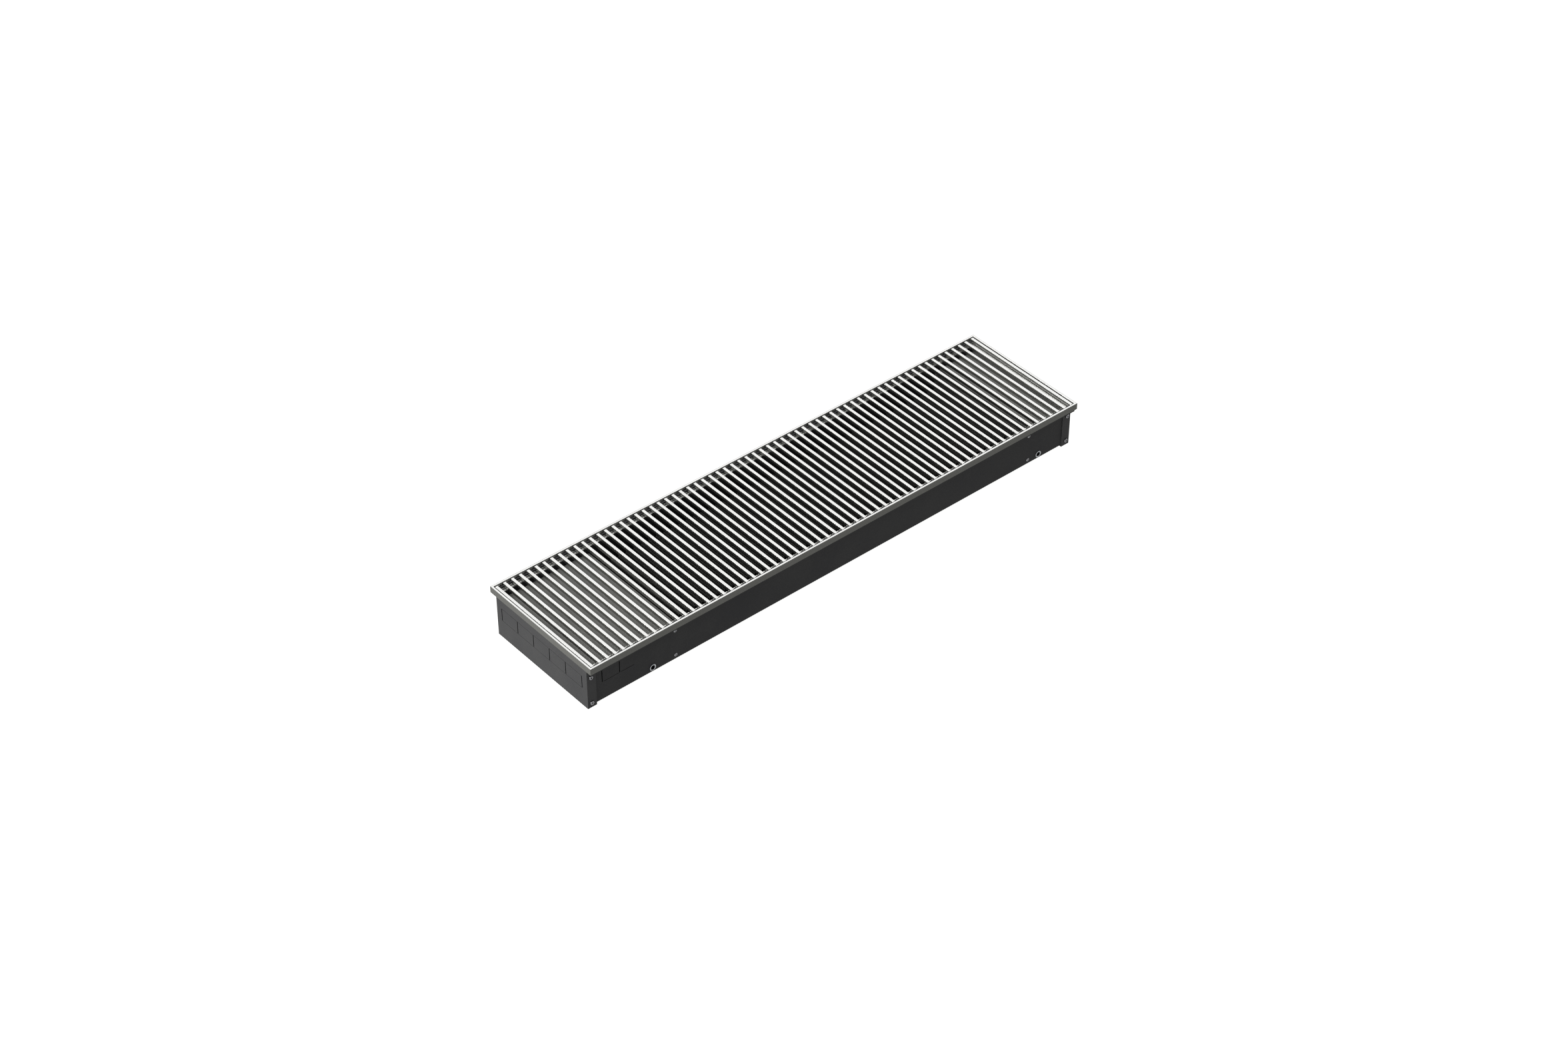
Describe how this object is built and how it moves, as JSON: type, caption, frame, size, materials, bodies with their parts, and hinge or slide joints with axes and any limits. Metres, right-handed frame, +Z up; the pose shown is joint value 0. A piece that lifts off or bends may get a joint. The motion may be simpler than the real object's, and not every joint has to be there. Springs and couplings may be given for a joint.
{
  "type": "floor trench convector",
  "caption": "Floor trench convector: black steel trough with a finned water coil, end covers and an aluminium frame holding a roll-up cross-bar grille.",
  "frame": {"origin": "bottom centre of the whole unit", "axes": "+X along the trough, from the pipe end to the far end; +Y across it; +Z up, out of the floor"},
  "size_m": [1.006, 0.25, 0.0885],
  "materials": {
    "trough_paint": "fine-textured black powder coat",
    "cover_paint": "grey powder coat on sheet steel",
    "zinc_fasteners": "bright zinc plate",
    "frame_aluminium": "satin anodised",
    "bar_aluminium": "satin anodised, natural",
    "sleeve_plastic": "moulded black",
    "wire_steel": "drawn spring wire",
    "strip_rubber": "matt black rubber",
    "fin_paint": "black coated aluminium fins",
    "copper": "drawn copper",
    "socket_brass": "turned brass",
    "vent_chrome": "nickel plated"
  },
  "bodies": {
    "casing": {"air_vent_body": "socket_brass", "anchor_sockets": "zinc_fasteners", "bulkhead_left": "cover_paint", "bulkhead_right": "cover_paint", "bulkhead_rivets": "zinc_fasteners", "cover_bracket_left": "cover_paint", "cover_bracket_right": "cover_paint", "cover_plate_left": "cover_paint", "cover_plate_right": "cover_paint", "cover_screws": "zinc_fasteners", "damping_strip_back": "strip_rubber", "damping_strip_front": "strip_rubber", "end_plate_left": "trough_paint", "end_plate_right": "trough_paint", "end_plate_screws": "zinc_fasteners", "fin_pack": "fin_paint", "flow_socket": "socket_brass", "frame_rail_back": "frame_aluminium", "frame_rail_front": "frame_aluminium", "frame_rail_left": "frame_aluminium", "frame_rail_right": "frame_aluminium", "levelling_nuts": "zinc_fasteners", "return_bend_left": "copper", "return_bends_right": "copper", "return_socket": "socket_brass", "trough_channel": "trough_paint", "tube_flow": "copper", "tube_grommets": "strip_rubber", "tube_return": "copper", "tube_second": "copper", "tube_third": "copper"},
    "grille": {"grille_bars": "bar_aluminium", "grille_sleeves": "sleeve_plastic", "grille_wires": "wire_steel"},
    "rolling_link_1": {"rolling_bar_1": "bar_aluminium", "rolling_sleeves_1": "sleeve_plastic", "rolling_wires_1": "wire_steel"},
    "rolling_link_2": {"rolling_bar_2": "bar_aluminium", "rolling_sleeves_2": "sleeve_plastic", "rolling_wires_2": "wire_steel"},
    "rolling_link_3": {"rolling_bar_3": "bar_aluminium", "rolling_sleeves_3": "sleeve_plastic", "rolling_wires_3": "wire_steel"},
    "rolling_link_4": {"rolling_bar_4": "bar_aluminium", "rolling_sleeves_4": "sleeve_plastic", "rolling_wires_4": "wire_steel"},
    "rolling_link_5": {"rolling_bar_5": "bar_aluminium", "rolling_sleeves_5": "sleeve_plastic", "rolling_wires_5": "wire_steel"},
    "rolling_link_6": {"rolling_bar_6": "bar_aluminium", "rolling_sleeves_6": "sleeve_plastic", "rolling_wires_6": "wire_steel"},
    "levelling_foot_1": {"levelling_screw_1": "zinc_fasteners"},
    "levelling_foot_2": {"levelling_screw_2": "zinc_fasteners"},
    "levelling_foot_3": {"levelling_screw_3": "zinc_fasteners"},
    "levelling_foot_4": {"levelling_screw_4": "zinc_fasteners"},
    "vent_spindle": {"air_vent_screw": "vent_chrome"}
  },
  "joints": [
    {"name": "grille_lift", "type": "slide", "parent": "casing", "child": "grille", "axis": [0, 0, 1], "range_m": [0, 0.12]},
    {"name": "roll_hinge_6", "type": "hinge", "parent": "grille", "child": "rolling_link_6", "pos_m": [-0.4125, 0, 0.084], "axis": [0, 1, 0], "range_deg": [0, 14]},
    {"name": "roll_hinge_5", "type": "hinge", "parent": "rolling_link_6", "child": "rolling_link_5", "pos_m": [-0.4275, 0, 0.084], "axis": [0, 1, 0], "range_deg": [0, 14]},
    {"name": "roll_hinge_4", "type": "hinge", "parent": "rolling_link_5", "child": "rolling_link_4", "pos_m": [-0.4425, 0, 0.084], "axis": [0, 1, 0], "range_deg": [0, 14]},
    {"name": "roll_hinge_3", "type": "hinge", "parent": "rolling_link_4", "child": "rolling_link_3", "pos_m": [-0.4575, 0, 0.084], "axis": [0, 1, 0], "range_deg": [0, 14]},
    {"name": "roll_hinge_2", "type": "hinge", "parent": "rolling_link_3", "child": "rolling_link_2", "pos_m": [-0.4725, 0, 0.084], "axis": [0, 1, 0], "range_deg": [0, 14]},
    {"name": "roll_hinge_1", "type": "hinge", "parent": "rolling_link_2", "child": "rolling_link_1", "pos_m": [-0.4875, 0, 0.084], "axis": [0, 1, 0], "range_deg": [0, 14]},
    {"name": "levelling_travel_1", "type": "slide", "parent": "casing", "child": "levelling_foot_1", "axis": [0, 0, -1], "range_m": [0, 0.025]},
    {"name": "levelling_travel_2", "type": "slide", "parent": "casing", "child": "levelling_foot_2", "axis": [0, 0, -1], "range_m": [0, 0.025]},
    {"name": "levelling_travel_3", "type": "slide", "parent": "casing", "child": "levelling_foot_3", "axis": [0, 0, -1], "range_m": [0, 0.025]},
    {"name": "levelling_travel_4", "type": "slide", "parent": "casing", "child": "levelling_foot_4", "axis": [0, 0, -1], "range_m": [0, 0.025]},
    {"name": "vent_turn", "type": "hinge", "parent": "casing", "child": "vent_spindle", "pos_m": [-0.4075, 0.06, 0.05], "axis": [0, 0, 1], "range_deg": [0, 180]}
  ],
  "couplings": [
    {"joint": "roll_hinge_5", "follows": "roll_hinge_6", "ratio": 1},
    {"joint": "roll_hinge_4", "follows": "roll_hinge_6", "ratio": 1},
    {"joint": "roll_hinge_3", "follows": "roll_hinge_6", "ratio": 1},
    {"joint": "roll_hinge_2", "follows": "roll_hinge_6", "ratio": 1},
    {"joint": "roll_hinge_1", "follows": "roll_hinge_6", "ratio": 1}
  ]
}
